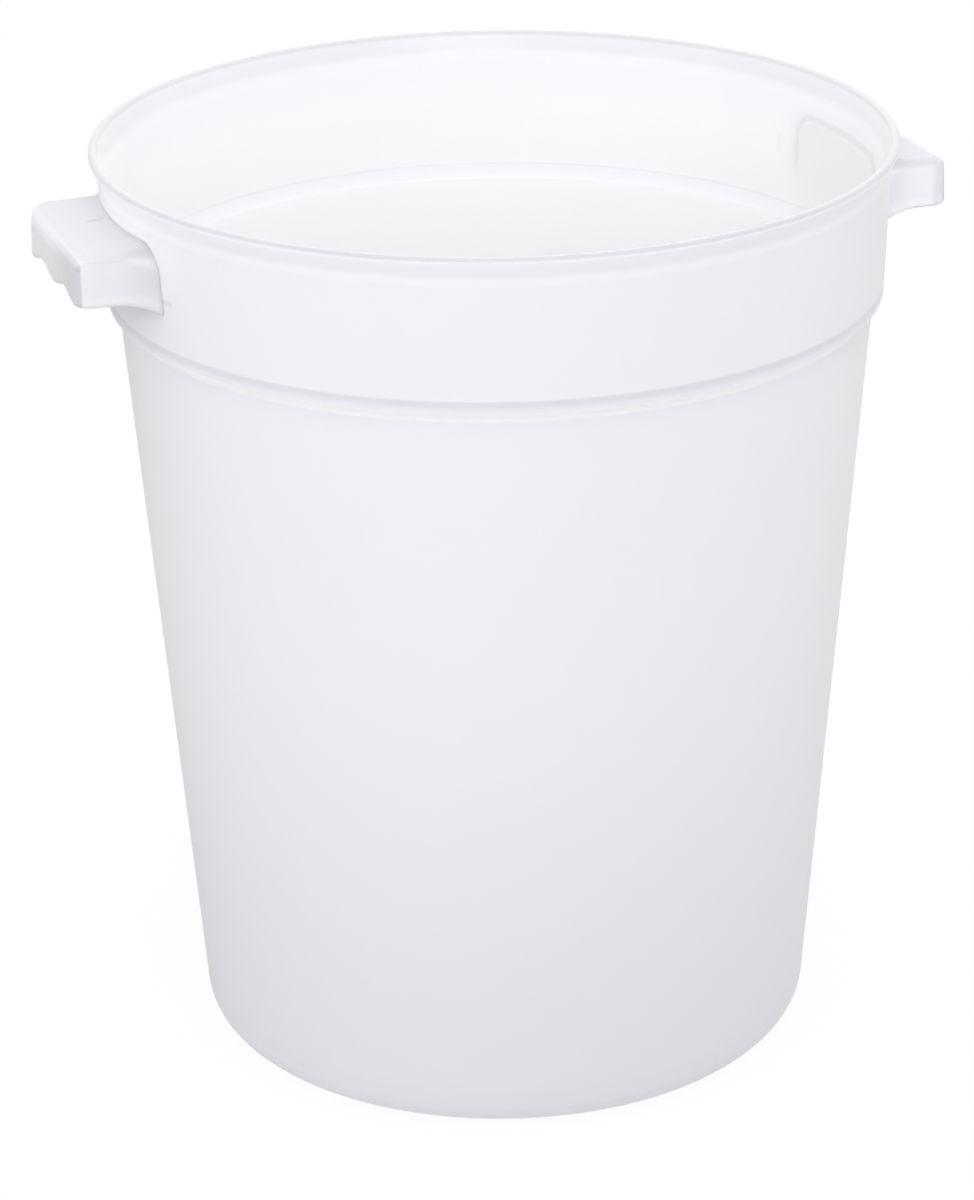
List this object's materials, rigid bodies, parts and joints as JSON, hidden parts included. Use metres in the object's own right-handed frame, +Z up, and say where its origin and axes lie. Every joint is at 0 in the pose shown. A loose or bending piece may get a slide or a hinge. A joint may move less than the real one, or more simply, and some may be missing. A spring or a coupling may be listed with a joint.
{
  "type": "food storage container",
  "caption": "Round tapered food storage container with a wide open mouth, a flared lip, a stepped upper band, finger pockets and two hooded side handles.",
  "frame": {"origin": "centre of the foot ring, on the surface that the container stands on", "axes": "+Z up along the tub's axis, X through the middles of the two handles with the right handle at +X, Y across them"},
  "size_m": [0.3588, 0.3166, 0.375],
  "materials": {
    "tub_plastic": "satin, milky translucent white polypropylene",
    "right_handle_plastic": "satin, milky translucent white polypropylene",
    "left_handle_plastic": "satin, milky translucent white polypropylene"
  },
  "bodies": {
    "root": {"tub": "tub_plastic", "right_handle": "right_handle_plastic", "left_handle": "left_handle_plastic"}
  },
  "joints": []
}
